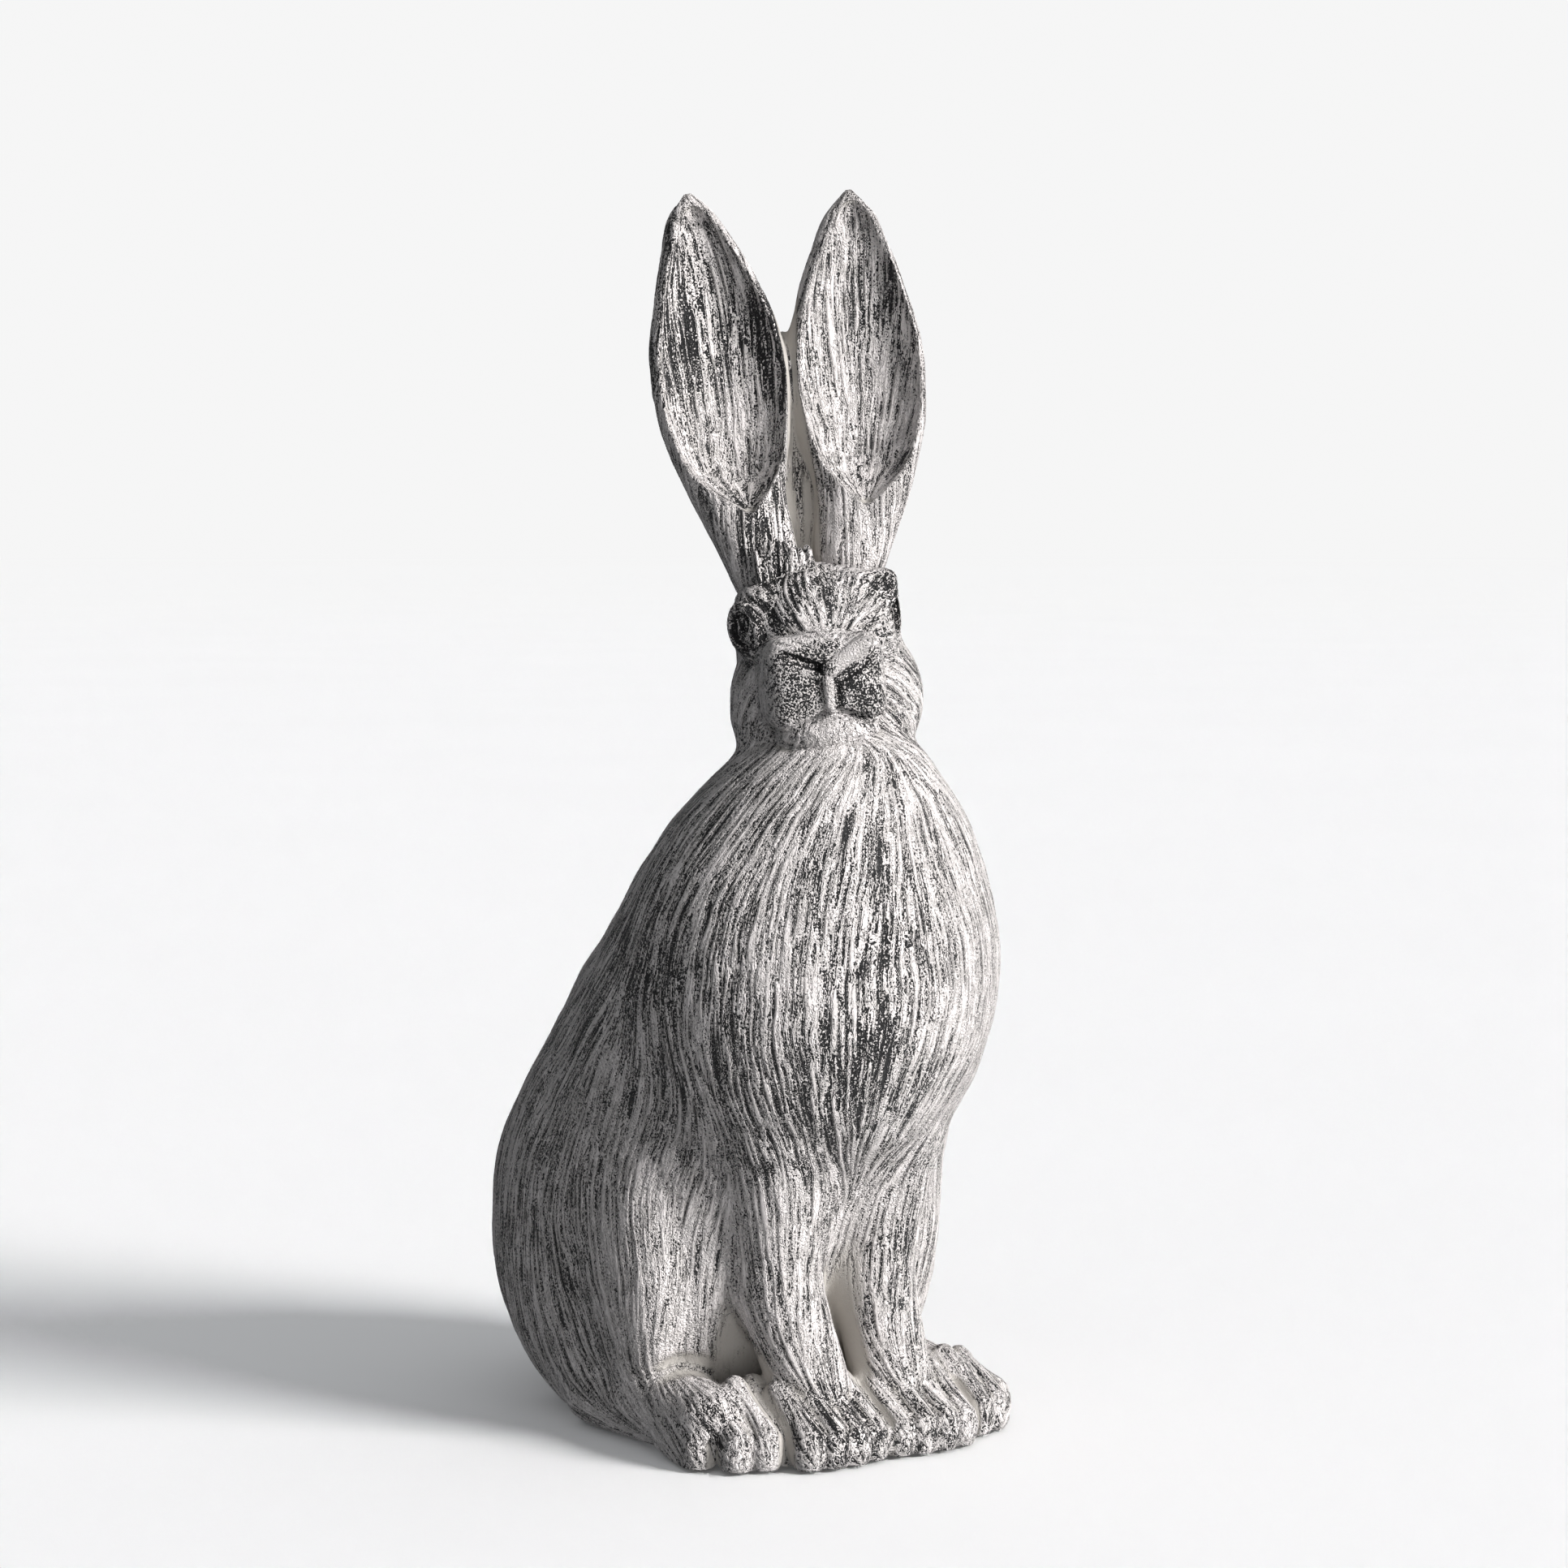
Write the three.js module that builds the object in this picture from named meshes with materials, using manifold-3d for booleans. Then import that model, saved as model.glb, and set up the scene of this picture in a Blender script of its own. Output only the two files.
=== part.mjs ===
// Seated hare figure: a hollow stone-resin casting with a separate pair of ears.
// Millimetres, +Z up. The hare looks along -Y and its own left side is +X.
// The figure stands on four felt pads, and the origin is the middle of its base.

import * as THREE from 'three';
import { mergeVertices } from 'three/addons/utils/BufferGeometryUtils.js';
import { LoftGeometry } from 'three/addons/geometries/LoftGeometry.js';
import Module from 'manifold-3d';

const wasm = await Module();
wasm.setup();

// ---- driving dimensions ----

const GAP = 0.3;                 // clearance between touching pieces
const WALL = 6;                  // casting thickness round the hollow trunk
const SOLE = 1.2;                // height of the casting's flat underside, on its pads

const HEAD_AT = [0, -38, 250];   // middle of the skull
const HEAD_YAW = -20;            // degrees, the face is turned towards the hare's right
const HEAD_ROLL = -5;            // degrees, the crown leans to the hare's right
const NOSE_X = -4.5;             // the muzzle sits a little towards the hare's right
const FEET_LEAN = 5;             // the feet stand this far towards the hare's left

const PLATE = { y: 28, halfWidth: 36, halfDepth: 40, thick: 3 };
const LEDGE = 5;                 // width of the step that the plate sits on
const PLUG = { y: 28, radius: 9, headRadius: 11.5, headThick: 0.6, lip: 0.6, lipThick: 1.4 };
const PAD = { radius: 9, thick: SOLE - 0.15 };
const PAD_PLACES = {
  pad_foot_right: [-30, -28],
  pad_foot_left: [36, -28],
  pad_rump_right: [-15, 49],
  pad_rump_left: [15, 49],
};

const ROD_RADIUS = 1.5;
const ROD_FOOT = [9, 7, -10];    // in the head's own frame, for the left rod
const ROD_TOP = [17.5, 9.6, 52];

const CAVITY_FLOOR = 14;
const CAVITY_TOP = 206;
const HEADROOM = 10;             // extra thickness over the hollow of the chest
const WASTE = { width: 400, depth: 40 };   // block that trims the underside flat

// Trunk sections: [height, centre y, half width, half depth]
const TRUNK = [
  [0, 28, 46, 50],
  [14, 29, 56, 58],
  [30, 31, 62, 66],
  [51, 31, 66, 73],
  [73, 25, 67, 78],
  [94, 16, 68, 78],
  [115, 4, 67, 77],
  [137, -9, 64, 72],
  [158, -20, 60, 64],
  [179, -30, 54, 54],
  [212, -45, 36.5, 34],
  [225, -46, 26, 26],
  [240, -40, 12, 12],
];

// Eggs of the body: middle, half sizes and sides. The haunch is the left one.
const CHEST = { at: [0, -37, 153], radii: [61, 51.5, 70], sides: 26 };
const BELLY = { at: [0, -4, 40], radii: [42, 32, 50], sides: 12 };
const TAIL = { at: [0, 101, 28], radii: [14, 11, 17], sides: 12 };
const WEB = { at: [4, -23, 3], radii: [52, 43, 7], sides: 14 };
const HAUNCH = { at: [37, 26, 60], radii: [30, 61, 61], sides: 18 };
const KNEE = { right: [-50.5, -8, 62], left: [47, 0, 62], radii: [15.5, 25, 48], sides: 14 };

// Left legs: joints and their radii, from the top down
const HIND_FOOT = { heel: [45, 14, 12], ball: [43, -44, 13], heelRadius: 16, ballRadius: 13, flat: 0.9 };
const FORELEG = { shoulder: [22.8, -48, 100], elbow: [17.5, -41, 55], wrist: [15, -51, 19] };
const FORELEG_RADIUS = { shoulder: 15.5, elbow: 13.5, wrist: 12.8 };

// Middle of a left foot's row of toes, and half width, half length and half height of a toe
const FORE_TOES = { x: 16.5, y: -62, toe: [5.6, 15, 11] };
const HIND_TOES = { x: 44, y: -53, toe: [5.8, 15, 11] };
const TOE_PITCH = 1.4;           // spacing of the toes, in toe half widths
const TOE_STEP = 2;              // each toe outward from the middle is set back this far
const TOE_SINK = 1.5;            // how far a toe's round underside would pass below the sole

// Eggs of the head in its own frame: middle, half sizes and sides
const HEAD_EGGS = [
  [[0, 4, 0], [25.5, 28, 24.5], 18],                   // skull
  [[-1, -2, 20], [20, 19, 11], 14],                    // crown
  [[-12.5, -2, -13], [16.8, 18, 22], 14],              // right cheek
  [[16, -3, -12], [16, 18, 20], 14],                   // left cheek
  [[-18, -6, 19.5], [8, 11, 7], 10],                   // right brow
  [[17, -6, 21], [8.5, 11, 7], 10],                    // left brow
  [[-21.4, -11, 12.5], [6, 8, 9.8], 12],               // right eye
  [[18.2, -11, 12.5], [6, 8, 9.8], 12],                // left eye
  [[NOSE_X / 2, -13, 11], [14, 13, 12], 14],           // bridge of the nose
  [[NOSE_X, -22.5, -4.3], [19.5, 13, 15.5], 18],       // muzzle
  [[NOSE_X, -26, 4.5], [13, 9, 6.5], 10],              // nose
  [[NOSE_X - 9.5, -27.5, -6.5], [8.5, 8.3, 8.5], 10],  // right lip
  [[NOSE_X + 9.5, -27.5, -6], [9, 8.8, 8.5], 10],      // left lip
  [[NOSE_X + 0.5, -22.5, -20], [16, 11.5, 9], 12],     // chin
];

// Left ear sections in the head's own frame: [height, x, y, half width, half depth]
const EAR = [
  [14, 11, 3, 8, 9],
  [34, 15, 3, 12, 10.5],
  [55, 20.3, 3.5, 15.8, 9.5],
  [75, 21.8, 5, 20.5, 10],
  [96, 22, 7, 21.9, 10.5],
  [116, 23, 9, 17.9, 9],
  [132, 24.4, 11, 12, 6.5],
  [144, 25.6, 13, 5.8, 4],
  [149, 26, 14, 1, 1],
];

// The hollow of the left ear, in the same form
const EAR_CUP = [
  [49, 18.6, -6, 1, 1.5],
  [57, 20.5, -3, 10, 8],
  [75, 21.8, -1, 18, 10.6],
  [96, 22, 1, 19.5, 11],
  [116, 23, 3, 15.4, 9.6],
  [132, 24.4, 5, 9.6, 7.1],
  [143, 25.5, 7.5, 4.2, 4.6],
  [147, 25.9, 9, 0.8, 1],
];

// The thin bridge of casting that joins the two ears, in the head's own frame
const EAR_BRIDGE = { at: [0, 12, 60], radii: [7, 5, 44], sides: 10 };

// ---- frames ----

const headFrame = new THREE.Matrix4()
  .makeTranslation(...HEAD_AT)
  .multiply(new THREE.Matrix4().makeRotationZ(THREE.MathUtils.degToRad(HEAD_YAW)))
  .multiply(new THREE.Matrix4().makeRotationY(THREE.MathUtils.degToRad(HEAD_ROLL)));
const bodyFrame = new THREE.Matrix4();

// ---- solids ----

// Turn a closed three.js geometry into a solid, dropping triangles that have shrunk to a line
function solid(geometry, frame = bodyFrame) {
  const shape = geometry.applyMatrix4(frame);
  shape.deleteAttribute('normal');
  shape.deleteAttribute('uv');
  const merged = mergeVertices(shape, 1e-4);
  const index = merged.index.array;
  const triangles = [];
  for (let i = 0; i < index.length; i += 3) {
    const [a, b, c] = [index[i], index[i + 1], index[i + 2]];
    if (a !== b && b !== c && c !== a) triangles.push(a, b, c);
  }
  const vertProperties = new Float32Array(merged.attributes.position.array);
  const triVerts = new Uint32Array(triangles);
  return new wasm.Manifold(new wasm.Mesh({ numProp: 3, vertProperties, triVerts }));
}

function join(solids) {
  return solids.reduce((whole, piece) => whole.add(piece));
}

function geometryOf(shape) {
  const { vertProperties, triVerts } = shape.getMesh();
  const geometry = new THREE.BufferGeometry();
  geometry.setAttribute('position', new THREE.BufferAttribute(vertProperties, 3));
  geometry.setIndex(new THREE.BufferAttribute(triVerts, 1));
  const faceted = geometry.toNonIndexed();
  faceted.computeVertexNormals();
  return faceted;
}

// An egg with the given half sizes
function egg(at, radii, sides, frame = bodyFrame) {
  const geometry = new THREE.SphereGeometry(1, sides, Math.round(sides * 0.65));
  geometry.rotateX(Math.PI / 2);
  geometry.scale(...radii);
  geometry.translate(...at);
  return solid(geometry, frame);
}

// A tapered bar with round ends, squashed in height by `flat`
function limb(start, end, startRadius, endRadius, sides, frame = bodyFrame, flat = 1) {
  const from = new THREE.Vector3(...start);
  const along = new THREE.Vector3(...end).sub(from);
  const arcSteps = Math.max(2, Math.round(sides / 4));
  const profile = [];
  for (let i = 0; i <= arcSteps; i++) {
    const angle = (Math.PI / 2) * (i / arcSteps);
    profile.push(new THREE.Vector2(startRadius * Math.sin(angle), -startRadius * Math.cos(angle)));
  }
  for (let i = 0; i <= arcSteps; i++) {
    const angle = (Math.PI / 2) * (i / arcSteps);
    const height = along.length() + endRadius * Math.sin(angle);
    profile.push(new THREE.Vector2(endRadius * Math.cos(angle), height));
  }
  profile[0].x = 0;
  profile[profile.length - 1].x = 0;
  const geometry = new THREE.LatheGeometry(profile, sides);
  const turn = new THREE.Quaternion().setFromUnitVectors(
    new THREE.Vector3(0, 1, 0),
    along.clone().normalize(),
  );
  geometry.applyQuaternion(turn);
  geometry.scale(1, 1, flat);
  geometry.translate(from.x, from.y, from.z);
  return solid(geometry, frame);
}

// Elliptic sections [height, x, y, half width, half depth] joined smoothly from floor to top
function stack(rows, steps, sides, frame = bodyFrame, grow = 0) {
  const levels = rows.map((row) => row[0]);
  const values = rows.flatMap((row) => row.slice(1));
  const spline = new THREE.CubicInterpolant(levels, values, 4);
  const floor = levels[0];
  const top = levels[levels.length - 1];
  const sections = [];
  for (let i = 0; i <= steps; i++) {
    const height = floor + ((top - floor) * i) / steps;
    const [x, y, halfWidth, halfDepth] = spline.evaluate(height);
    const section = [];
    for (let j = 0; j < sides; j++) {
      const angle = (2 * Math.PI * j) / sides;
      section.push(new THREE.Vector3(
        x + (halfWidth + grow) * Math.cos(angle),
        y + (halfDepth + grow) * Math.sin(angle),
        height,
      ));
    }
    sections.push(section);
  }
  return solid(new LoftGeometry(sections, { capStart: true, capEnd: true }), frame);
}

function disc(at, halfWidth, halfDepth, thick, sides = 32) {
  const geometry = new THREE.CylinderGeometry(1, 1, thick, sides);
  geometry.rotateX(Math.PI / 2);
  geometry.scale(halfWidth, halfDepth, 1);
  geometry.translate(at[0], at[1], at[2] + thick / 2);
  return solid(geometry);
}

function mirrored(rows, side) {
  return rows.map(([height, x, y, halfWidth, halfDepth]) => [height, side * x, y, halfWidth, halfDepth]);
}

// A point of the hare's left half, or its mirror image
function onSide([x, y, z], side, lean = 0) {
  return [side * x + lean, y, z];
}

// ---- the hare's outer form ----

function trunk() {
  const rows = TRUNK.map(([height, y, halfWidth, halfDepth]) => [height, 0, y, halfWidth, halfDepth]);
  const eggs = [CHEST, BELLY, TAIL, WEB].map(({ at, radii, sides }) => egg(at, radii, sides));
  return [stack(rows, 12, 26), ...eggs];
}

function haunch(side) {
  const { heel, ball, heelRadius, ballRadius, flat } = HIND_FOOT;
  return [
    egg(onSide(HAUNCH.at, side), HAUNCH.radii, HAUNCH.sides),
    egg(side < 0 ? KNEE.right : KNEE.left, KNEE.radii, KNEE.sides),
    limb(onSide(heel, side), onSide(ball, side), heelRadius, ballRadius, 12, bodyFrame, flat),
  ];
}

function foreleg(side) {
  const shoulder = onSide(FORELEG.shoulder, side);
  const elbow = onSide(FORELEG.elbow, side);
  const wrist = onSide(FORELEG.wrist, side, FEET_LEAN);
  return [
    limb(shoulder, elbow, FORELEG_RADIUS.shoulder, FORELEG_RADIUS.elbow, 12),
    limb(elbow, wrist, FORELEG_RADIUS.elbow, FORELEG_RADIUS.wrist, 10),
  ];
}

// Four toes side by side: tall blunt eggs, and the middle two reach furthest
function toes({ x, y, toe }, side) {
  const [halfWidth, , halfHeight] = toe;
  const middle = side * x + FEET_LEAN;
  return [-1.5, -0.5, 0.5, 1.5].map((place) => egg(
    [
      middle + place * TOE_PITCH * halfWidth,
      y + Math.abs(place) * TOE_STEP,
      SOLE + halfHeight - TOE_SINK,
    ],
    toe,
    10,
  ));
}

function feet(side) {
  return [...toes(FORE_TOES, side), ...toes(HIND_TOES, side)];
}

function head() {
  return HEAD_EGGS.map(([at, radii, sides]) => egg(at, radii, sides, headFrame));
}

// ---- the ears ----

function earForms(grow = 0) {
  const radii = EAR_BRIDGE.radii.map((radius) => radius + grow);
  const bridge = egg(EAR_BRIDGE.at, radii, EAR_BRIDGE.sides, headFrame);
  const ears = [-1, 1].map((side) => stack(mirrored(EAR, side), 14, 16, headFrame, grow));
  return join([...ears, bridge]);
}

function earCups() {
  return join([-1, 1].map((side) => stack(mirrored(EAR_CUP, side), 9, 14, headFrame)));
}

function rod(side, grow = 0) {
  const [x, y, z] = ROD_FOOT;
  const [topX, topY, topZ] = ROD_TOP;
  const along = new THREE.Vector3(side * (topX - x), topY - y, topZ - z);
  const length = along.length();
  const geometry = new THREE.CylinderGeometry(ROD_RADIUS + grow, ROD_RADIUS + grow, length + 2 * grow, 12);
  geometry.applyQuaternion(
    new THREE.Quaternion().setFromUnitVectors(new THREE.Vector3(0, 1, 0), along.clone().normalize()),
  );
  geometry.translate(side * x + along.x / 2, y + along.y / 2, z + along.z / 2);
  return solid(geometry, headFrame);
}

function earPair() {
  return earForms().subtract(earCups()).subtract(rod(-1, GAP)).subtract(rod(1, GAP));
}

// ---- the casting ----

function cavity() {
  const trunkRows = TRUNK.filter(([height]) => height >= CAVITY_FLOOR && height <= CAVITY_TOP);
  const rows = trunkRows.map(([height, y, halfWidth, halfDepth]) => [
    height, 0, y, halfWidth - WALL, halfDepth - WALL,
  ]);
  const [halfWidth, halfDepth, halfHeight] = CHEST.radii;
  const chest = egg(CHEST.at, [halfWidth - WALL, halfDepth - WALL, halfHeight - WALL - HEADROOM], 14);
  const opening = disc(
    [0, PLATE.y, -WALL], PLATE.halfWidth - LEDGE, PLATE.halfDepth - LEDGE, CAVITY_FLOOR + 2 * WALL,
  );
  return join([stack(rows, 6, 16), chest, opening]);
}

function plateSeat() {
  const depth = SOLE + PLATE.thick + GAP;
  return disc([0, PLATE.y, -WALL], PLATE.halfWidth + GAP, PLATE.halfDepth + GAP, depth + WALL);
}

function underTheSole() {
  const { width, depth } = WASTE;
  return solid(new THREE.BoxGeometry(width, width, depth).translate(0, 0, SOLE - depth / 2));
}

function bodyShell() {
  const sides = [-1, 1].flatMap((side) => [...haunch(side), ...foreleg(side), ...feet(side)]);
  return join([...trunk(), ...sides, ...head()])
    .subtract(cavity())
    .subtract(plateSeat())
    .subtract(underTheSole())
    .subtract(earForms(GAP))
    .subtract(rod(-1, GAP))
    .subtract(rod(1, GAP));
}

// ---- underside ----

function basePlate() {
  const plate = disc([0, PLATE.y, SOLE], PLATE.halfWidth, PLATE.halfDepth, PLATE.thick);
  const through = SOLE + 2 * PLATE.thick;
  const hole = disc([0, PLUG.y, 0], PLUG.radius + GAP, PLUG.radius + GAP, through, 28);
  return plate.subtract(hole);
}

// Rubber bung: a thin head below the plate, a neck through it and a lip above
function ventPlug() {
  const under = SOLE - GAP;
  const above = SOLE + PLATE.thick + GAP;
  const profile = [
    [0, under - PLUG.headThick],
    [PLUG.headRadius, under - PLUG.headThick],
    [PLUG.headRadius, under],
    [PLUG.radius, under],
    [PLUG.radius, above],
    [PLUG.radius + PLUG.lip, above],
    [PLUG.radius - PLUG.lip, above + PLUG.lipThick],
    [0, above + PLUG.lipThick],
  ].map(([radius, height]) => new THREE.Vector2(radius, height));
  const geometry = new THREE.LatheGeometry(profile, 28);
  geometry.rotateX(Math.PI / 2);
  geometry.translate(0, PLUG.y, 0);
  return solid(geometry);
}

function pad([x, y]) {
  return disc([x, y, 0], PAD.radius, PAD.radius, PAD.thick, 28);
}

// ---- materials ----

const material = (color, roughness, metalness = 0) => (
  new THREE.MeshStandardMaterial({ color, roughness, metalness })
);
const castStone = material(0xbdb7b3, 0.85);
const steel = material(0x8f9296, 0.35, 1);
const board = material(0x6f6a64, 0.8);
const rubber = material(0x2b2b2b, 0.7);
const felt = material(0x3a3835, 1);

// ---- the figure ----

const group = new THREE.Group();

function place(name, shape, look) {
  const mesh = new THREE.Mesh(geometryOf(shape), look);
  mesh.name = name;
  group.add(mesh);
}

place('body_shell', bodyShell(), castStone);
place('ear_pair', earPair(), castStone);
place('ear_rod_right', rod(-1), steel);
place('ear_rod_left', rod(1), steel);
place('base_plate', basePlate(), board);
place('vent_plug', ventPlug(), rubber);
for (const [name, at] of Object.entries(PAD_PLACES)) place(name, pad(at), felt);

// Bring the middle of the base to the origin
const extent = new THREE.Box3().setFromObject(group);
const middle = extent.getCenter(new THREE.Vector3());
group.position.set(-middle.x, -middle.y, -extent.min.z);

export default group;
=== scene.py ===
"""A seated hare figure in whitewashed cast stone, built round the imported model's frame.

The tables are millimetres in the figure's own frame: +Z is up, the hare looks along -Y and its own
left side is +X. They repeat the CAD model's forms, and the frame says where that origin stands.
Soft-edged forms are melted together on a grid, the surface is meshed, and strokes that follow the
lie of the fur are then combed into it.
"""

import math

import bpy
import numpy as np
import openvdb
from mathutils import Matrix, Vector


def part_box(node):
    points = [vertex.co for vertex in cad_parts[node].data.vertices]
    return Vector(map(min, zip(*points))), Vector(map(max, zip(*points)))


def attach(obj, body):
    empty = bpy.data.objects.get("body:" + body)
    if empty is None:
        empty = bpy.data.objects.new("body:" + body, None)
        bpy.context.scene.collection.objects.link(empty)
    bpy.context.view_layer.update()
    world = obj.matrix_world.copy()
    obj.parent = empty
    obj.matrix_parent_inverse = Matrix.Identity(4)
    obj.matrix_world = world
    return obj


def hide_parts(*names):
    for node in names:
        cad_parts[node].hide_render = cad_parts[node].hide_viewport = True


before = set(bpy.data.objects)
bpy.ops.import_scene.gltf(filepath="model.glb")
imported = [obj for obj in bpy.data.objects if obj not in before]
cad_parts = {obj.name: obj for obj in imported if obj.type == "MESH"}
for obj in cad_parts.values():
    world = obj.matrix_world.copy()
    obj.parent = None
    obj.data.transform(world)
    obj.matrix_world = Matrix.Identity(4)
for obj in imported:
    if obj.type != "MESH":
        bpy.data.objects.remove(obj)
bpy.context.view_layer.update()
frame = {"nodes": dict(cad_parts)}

MM = 0.001
FAR = 1000.0                      # mm, a distance that means "nowhere near"
GAP = 0.3                         # mm between touching pieces
SOLE = 1.2                        # mm, height of the casting's flat underside

# ---- the figure's place in the frame ----

PLATE_Y = 28.0                    # the base plate's middle in the figure's own frame
PLATE_HALF = (36.0, 40.0)
PLATE_THICK = 3.0
LEDGE = 5.0                       # width of the step that the plate sits on
OPENING_TOP = 14.0                # how far up the opening above the plate reaches
BELOW = -5.0                      # height that the cuts from below start at
ROD_RADIUS = 1.5
ROD_FOOT = (9.0, 7.0, -10.0)      # in the head's own frame, for the left rod
ROD_TOP = (17.5, 9.6, 52.0)
plate_low, plate_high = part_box("base_plate")
SHIFT_Y = (plate_low.y + plate_high.y) / 2 / MM - PLATE_Y

# ---- forms: the tables shared with the CAD model ----

HEAD_AT = (0.0, -38.0, 250.0)
HEAD_YAW = -20.0                  # degrees, the face is turned towards the hare's right
HEAD_ROLL = -5.0                  # degrees, the crown leans to the hare's right
NOSE_X = -4.5                     # the muzzle sits a little towards the hare's right
FEET_LEAN = 5.0                   # the feet stand this far towards the hare's left

# eggs of the body: middle and half sizes, and the left one where there are two
CHEST = ((0, -37, 153), (61, 51.5, 70))
TAIL = ((0, 101, 28), (14, 11, 17))
BELLY = ((0, -4, 40), (42, 32, 50))
WEB = ((4, -23, 3), (52, 43, 7))
HAUNCH = ((37, 26, 60), (30, 61, 61))
KNEE_AT = {-1: (-50.5, -8, 62), 1: (47, 0, 62)}
KNEE_RADII = (15.5, 25, 48)

# joints of the left legs, with their radii
HEEL, HEEL_RADIUS = (45, 14, 12), 16
BALL, BALL_RADIUS = (43, -44, 13), 13
HIND_FOOT_FLAT = 0.9
SHOULDER, SHOULDER_RADIUS = (22.8, -48, 100), 15.5
ELBOW, ELBOW_RADIUS = (17.5, -41, 55), 13.5
WRIST, WRIST_RADIUS = (15, -51, 19), 12.8

# a left foot's toes: middle of the row, foremost tip, half width of a toe, setback of each toe
FORE_TOES = (16.5, -77, 5.6, (1.5, 0, 0, 1.5))
HIND_TOES = (44, -68, 5.8, (2, 0, 3, 13))
TOE_PITCH = 1.4                   # spacing of the toes, in toe half widths
TOE_RUN = 18                      # how far a toe's ridge runs back from its tip
TOE_ROOT, TOE_TIP = 17.5, 6.8     # heights of the ridge at its two ends

# height, centre y, half width, half depth
TRUNK = [
    (0, 28, 46, 50),
    (14, 29, 56, 58),
    (30, 31, 62, 66),
    (51, 31, 66, 73),
    (73, 25, 67, 78),
    (94, 16, 68, 78),
    (115, 4, 67, 77),
    (137, -9, 64, 72),
    (158, -20, 60, 64),
    (179, -30, 54, 54),
    (212, -45, 36.5, 34),
    (225, -46, 26, 26),
    (240, -40, 12, 12),
]

# the left ear in the head's frame: height, x, y, half width, half depth
EAR = [
    (14, 11, 3, 8, 9),
    (34, 15, 3, 12, 10.5),
    (55, 20.3, 3.5, 15.8, 9.5),
    (75, 21.8, 5, 20.5, 10),
    (96, 22, 7, 21.9, 10.5),
    (116, 23, 9, 17.9, 9),
    (132, 24.4, 11, 12, 6.5),
    (144, 25.6, 13, 5.8, 4),
    (149, 26, 14, 1, 1),
]

EAR_BRIDGE = ((0, 12, 60), (7, 5, 44))   # the thin bridge between the ears, in the head's frame
EAR_TRIM = {-1: 1.0, 1: 0.987}    # the hare's left ear stands a little shorter

# the hollow of the left ear, in the same form
EAR_CUP = [
    (49, 18.6, -6, 1, 1.5),
    (57, 20.5, -3, 10, 8),
    (75, 21.8, -1, 18, 10.6),
    (96, 22, 1, 19.5, 11),
    (116, 23, 3, 15.4, 9.6),
    (132, 24.4, 5, 9.6, 7.1),
    (143, 25.5, 7.5, 4.2, 4.6),
    (147, 25.9, 9, 0.8, 1),
]


def turned(yaw=0.0, pitch=0.0, roll=0.0):
    """Rotation matrix: roll about Y first, then pitch about X, then yaw about Z, in degrees."""
    cy, sy = math.cos(math.radians(yaw)), math.sin(math.radians(yaw))
    cp, sp = math.cos(math.radians(pitch)), math.sin(math.radians(pitch))
    cr, sr = math.cos(math.radians(roll)), math.sin(math.radians(roll))
    about_z = np.array([[cy, -sy, 0], [sy, cy, 0], [0, 0, 1]])
    about_x = np.array([[1, 0, 0], [0, cp, -sp], [0, sp, cp]])
    about_y = np.array([[cr, 0, sr], [0, 1, 0], [-sr, 0, cr]])
    return about_z @ about_x @ about_y


UPRIGHT = np.eye(3)
HEAD_TURN = turned(yaw=HEAD_YAW, roll=HEAD_ROLL)


def on_side(point, side, lean=0.0):
    """A point of the left half, or its mirror image when `side` is -1."""
    x, y, z = point
    return (side * x + lean, y, z)


def on_head(point):
    """A point of the head's frame, in the figure's frame."""
    return np.array(HEAD_AT) + HEAD_TURN @ np.array(point, float)


# ---- soft-edged forms ----


def melt(a, b, width):
    """Smooth minimum of two distance fields."""
    if width <= 0:
        return np.minimum(a, b)
    mix = np.clip(0.5 + 0.5 * (b - a) / width, 0, 1)
    return b + (a - b) * mix - width * mix * (1 - mix)


class Form:
    """A solid with a distance field. `soft` is how widely it melts into the forms before it."""

    def __init__(self, low, high, soft, cut, grain):
        self.low = np.array(low, float)
        self.high = np.array(high, float)
        self.soft = soft
        self.cut = cut
        self.grain = grain

    def near(self, points, margin):
        reach = margin + self.soft
        inside = (points > self.low - reach) & (points < self.high + reach)
        return inside.all(axis=1)

    def lie(self, points):
        """The way the fur lies at these points."""
        if callable(self.grain):
            return self.grain(points)
        return np.broadcast_to(np.array(self.grain, float), points.shape)


class Egg(Form):
    def __init__(self, at, radii, turn=UPRIGHT, soft=8.0, cut=False, grain=(0, 0, -1)):
        self.at = np.array(at, float)
        self.radii = np.array(radii, float)
        self.turn = turn
        reach = np.sqrt(((turn * self.radii) ** 2).sum(axis=1))
        super().__init__(self.at - reach, self.at + reach, soft, cut, grain)

    def distance(self, points):
        local = (points - self.at) @ self.turn / self.radii
        size = np.sqrt((local ** 2).sum(axis=1))
        slope = np.sqrt(((local / self.radii) ** 2).sum(axis=1))
        return size * (size - 1) / np.maximum(slope, 1e-6)


class Block(Form):
    """A box with its edges rounded off."""

    def __init__(self, at, half, rounding, turn=UPRIGHT, soft=8.0, cut=False, grain=(0, 0, -1)):
        self.at = np.array(at, float)
        self.core = np.array(half, float) - rounding
        self.rounding = rounding
        self.turn = turn
        reach = np.abs(turn) @ self.core + rounding
        super().__init__(self.at - reach, self.at + reach, soft, cut, grain)

    def distance(self, points):
        beyond = np.abs((points - self.at) @ self.turn) - self.core
        outside = np.sqrt((np.maximum(beyond, 0) ** 2).sum(axis=1))
        return outside + np.minimum(beyond.max(axis=1), 0) - self.rounding


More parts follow.
